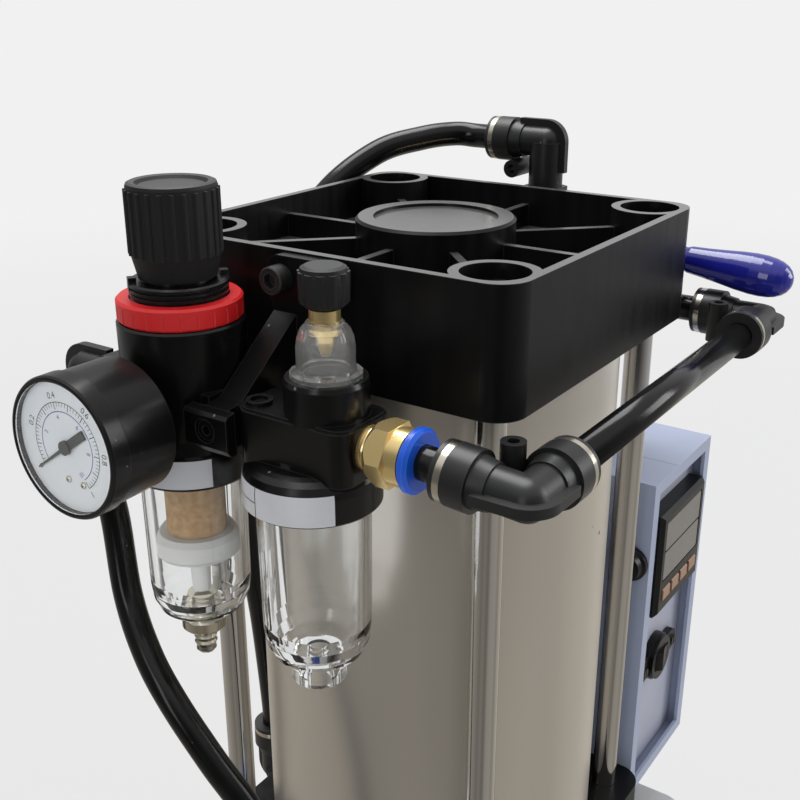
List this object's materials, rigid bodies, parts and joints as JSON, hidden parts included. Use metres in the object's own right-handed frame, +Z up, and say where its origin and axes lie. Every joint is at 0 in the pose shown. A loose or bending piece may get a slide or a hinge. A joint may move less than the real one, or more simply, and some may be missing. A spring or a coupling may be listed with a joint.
{
  "type": "desktop injection molding machine",
  "caption": "Air-driven desktop plunger injection moulding machine: cylinder on a column frame, heated barrel, air preparation unit, hand valve, control box and mould vice.",
  "frame": {"origin": "centre of the four base plate bolt holes, on the underside of the base plate", "axes": "+Z up along the plunger, -Y towards the operator (control panel and lever side), -X towards the air preparation unit"},
  "size_m": [0.364, 0.255, 0.9895],
  "materials": {
    "plate_grey": "satin",
    "chrome_rod": "polished",
    "ground_steel": "ground",
    "black_oxide": "black oxide",
    "vice_paint": "satin",
    "brass": "machined",
    "band_steel": "brushed",
    "cast_alloy": "machined",
    "seal_rubber": "matt",
    "black_cast": "semi gloss",
    "tube_alloy": "brushed satin",
    "black_plastic": "satin",
    "red_plastic": "gloss",
    "clear_bowl": "clear",
    "sintered_bronze": "porous",
    "white_plastic": "satin",
    "nickel": "satin",
    "black_gloss": "gloss",
    "dial_white": "matt",
    "needle_black": "matt",
    "lens": "clear",
    "blue_plastic": "gloss",
    "hose_black": "satin",
    "lever_blue": "gloss",
    "box_paint": "satin",
    "panel_paint": "satin",
    "key_orange": "satin"
  },
  "bodies": {
    "machine": {"base_plate": "plate_grey", "columns": "chrome_rod", "barrel_plate": "plate_grey", "upper_plate": "plate_grey", "shaft_collars": "ground_steel", "m10_hardware": "black_oxide", "m6_screws": "black_oxide", "vice_body": "vice_paint", "barrel": "ground_steel", "nozzle": "brass", "heater_bands": "band_steel", "thermocouple": "band_steel", "hopper": "band_steel", "rod_bushing": "brass", "cap_top": "black_cast", "cap_bottom": "black_cast", "cylinder_tube": "tube_alloy", "tie_rods": "chrome_rod", "frl_bracket": "black_cast", "regulator_body": "black_cast", "regulator_ring": "red_plastic", "regulator_bowl": "clear_bowl", "filter_element": "sintered_bronze", "bowl_baffle": "white_plastic", "lubricator_body": "black_cast", "lubricator_dome": "clear_bowl", "lubricator_bowl": "clear_bowl", "gauge_case": "black_gloss", "gauge_dial": "dial_white", "gauge_lens": "lens", "fitting_bodies": "black_plastic", "fitting_rings": "nickel", "brass_fittings": "brass", "blue_collets": "blue_plastic", "air_hoses": "hose_black", "valve_body": "black_cast", "box_shell": "box_paint", "box_panel": "panel_paint", "controller": "black_plastic", "switch_body": "black_plastic", "box_outlets": "black_plastic"},
    "ram": {"piston": "cast_alloy", "piston_seals": "seal_rubber", "piston_rod": "chrome_rod", "plunger_holder": "black_oxide", "plunger": "ground_steel"},
    "pressure_knob": {"regulator_knob": "black_plastic"},
    "drip_knob": {"lubricator_knob": "black_plastic"},
    "drain_stem": {"drain_valve": "nickel"},
    "needle": {"gauge_needle": "needle_black"},
    "hand_lever": {"valve_lever": "lever_blue"},
    "spool": {"valve_spool": "ground_steel"},
    "key_a": {"key_1": "key_orange"},
    "key_b": {"key_2": "key_orange"},
    "key_c": {"key_3": "key_orange"},
    "key_d": {"key_4": "key_orange"},
    "rocker": {"switch_rocker": "black_gloss"},
    "jaw": {"vice_jaw": "ground_steel"},
    "lead_screw": {"vice_screw": "ground_steel"}
  },
  "joints": [
    {"name": "ram_stroke", "type": "slide", "parent": "machine", "child": "ram", "axis": [0, 0, -1], "range_m": [0, 0.15]},
    {"name": "pressure_knob_turn", "type": "hinge", "parent": "machine", "child": "pressure_knob", "pos_m": [-0.092, 0.0313, 0.97525], "axis": [0, 0, 1], "range_deg": [-360, 1080]},
    {"name": "drip_knob_turn", "type": "hinge", "parent": "machine", "child": "drip_knob", "pos_m": [-0.092, -0.0235, 0.96725], "axis": [0, 0, 1], "range_deg": [-360, 720]},
    {"name": "drain_turn", "type": "hinge", "parent": "machine", "child": "drain_stem", "pos_m": [-0.092, 0.0313, 0.84325], "axis": [0, 0, 1], "range_deg": [0, 180]},
    {"name": "needle_sweep", "type": "hinge", "parent": "machine", "child": "needle", "pos_m": [-0.138, 0.0313, 0.92295], "axis": [1, 0, 0], "range_deg": [0, 270], "stiffness_Nm_per_rad": 0.00002},
    {"name": "lever_rock", "type": "hinge", "parent": "machine", "child": "hand_lever", "pos_m": [0.097, -0.043, 0.94225], "axis": [1, 0, 0], "range_deg": [-30, 1]},
    {"name": "spool_slide", "type": "slide", "parent": "machine", "child": "spool", "axis": [0, 1, 0], "range_m": [-0.0052, 0]},
    {"name": "rocker_tilt", "type": "hinge", "parent": "machine", "child": "rocker", "pos_m": [0.09675, -0.05715, 0.75735], "axis": [0, 0, -1], "range_deg": [0, 22]},
    {"name": "jaw_slide", "type": "slide", "parent": "machine", "child": "jaw", "axis": [1, 0, 0], "range_m": [0, 0.04]},
    {"name": "lead_screw_turn", "type": "hinge", "parent": "jaw", "child": "lead_screw", "pos_m": [-0.062, 0, 0.07325], "axis": [1, 0, 0], "range_deg": [-10, 3610]},
    {"name": "key_a_press", "type": "slide", "parent": "machine", "child": "key_a", "axis": [0, 1, 0], "range_m": [0, 0.0008], "stiffness_N_per_m": 600, "springref_m": -0.0008},
    {"name": "key_b_press", "type": "slide", "parent": "machine", "child": "key_b", "axis": [0, 1, 0], "range_m": [0, 0.0008], "stiffness_N_per_m": 600, "springref_m": -0.0008},
    {"name": "key_c_press", "type": "slide", "parent": "machine", "child": "key_c", "axis": [0, 1, 0], "range_m": [0, 0.0008], "stiffness_N_per_m": 600, "springref_m": -0.0008},
    {"name": "key_d_press", "type": "slide", "parent": "machine", "child": "key_d", "axis": [0, 1, 0], "range_m": [0, 0.0008], "stiffness_N_per_m": 600, "springref_m": -0.0008}
  ],
  "couplings": [
    {"joint": "lever_rock", "follows": "spool_slide", "rad_per_m": 96.15},
    {"joint": "lead_screw_turn", "follows": "jaw_slide", "rad_per_m": 1570.8}
  ]
}
